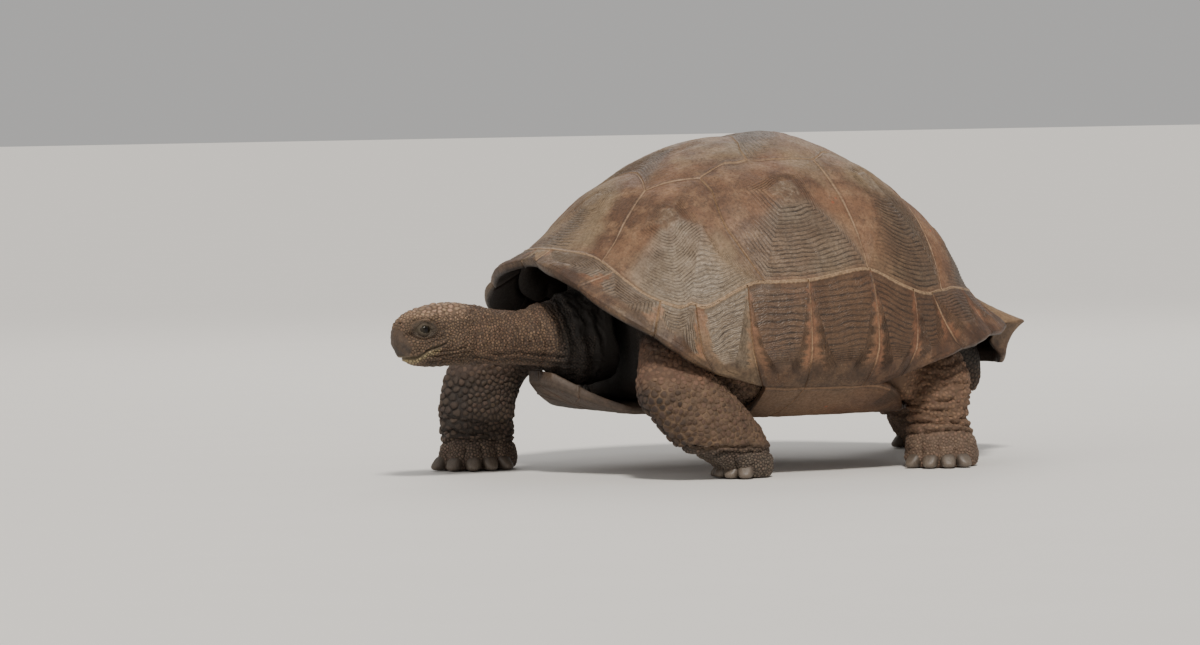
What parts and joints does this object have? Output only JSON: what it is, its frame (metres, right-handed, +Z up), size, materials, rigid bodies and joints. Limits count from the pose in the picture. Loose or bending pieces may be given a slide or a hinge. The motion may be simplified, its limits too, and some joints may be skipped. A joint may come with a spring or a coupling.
{
  "type": "giant tortoise",
  "caption": "Life-size giant tortoise in mid stride, a still museum model with domed horny shell, long neck and scaly column legs.",
  "frame": {"origin": "on the floor, under the middle of the whole length and width", "axes": "+Z up, the head faces -Y, +X towards the animal's left side"},
  "size_m": [0.785, 1.3921, 0.66],
  "materials": {
    "shell": "worn grey-brown horn with growth rings, rough, faint sheen on the worn crests",
    "belly_shell": "scuffed brown horn, rough",
    "skin": "dry dark grey-brown scaly skin, rough",
    "eye": "wet, glossy, nearly black"
  },
  "bodies": {
    "root": {"nuchal": "shell", "vertebral_1": "shell", "vertebral_2": "shell", "vertebral_3": "shell", "vertebral_4": "shell", "vertebral_5": "shell", "costal_left_1": "shell", "costal_left_2": "shell", "costal_left_3": "shell", "costal_left_4": "shell", "costal_right_1": "shell", "costal_right_2": "shell", "costal_right_3": "shell", "costal_right_4": "shell", "marginal_left_1": "shell", "marginal_left_2": "shell", "marginal_left_3": "shell", "marginal_left_4": "shell", "marginal_left_5": "shell", "marginal_left_6": "shell", "marginal_left_7": "shell", "marginal_left_8": "shell", "marginal_left_9": "shell", "marginal_left_10": "shell", "marginal_left_11": "shell", "marginal_right_1": "shell", "marginal_right_2": "shell", "marginal_right_3": "shell", "marginal_right_4": "shell", "marginal_right_5": "shell", "marginal_right_6": "shell", "marginal_right_7": "shell", "marginal_right_8": "shell", "marginal_right_9": "shell", "marginal_right_10": "shell", "marginal_right_11": "shell", "supracaudal": "shell", "gular_left": "belly_shell", "gular_right": "belly_shell", "humeral_left": "belly_shell", "humeral_right": "belly_shell", "pectoral_left": "belly_shell", "pectoral_right": "belly_shell", "abdominal_left": "belly_shell", "abdominal_right": "belly_shell", "femoral_left": "belly_shell", "femoral_right": "belly_shell", "anal_left": "belly_shell", "anal_right": "belly_shell", "head": "skin", "lower_jaw": "skin", "neck": "skin", "trunk": "skin", "tail": "skin", "leg_front_left": "skin", "leg_front_right": "skin", "leg_hind_left": "skin", "leg_hind_right": "skin", "eye_left": "eye", "eye_right": "eye"}
  },
  "joints": []
}
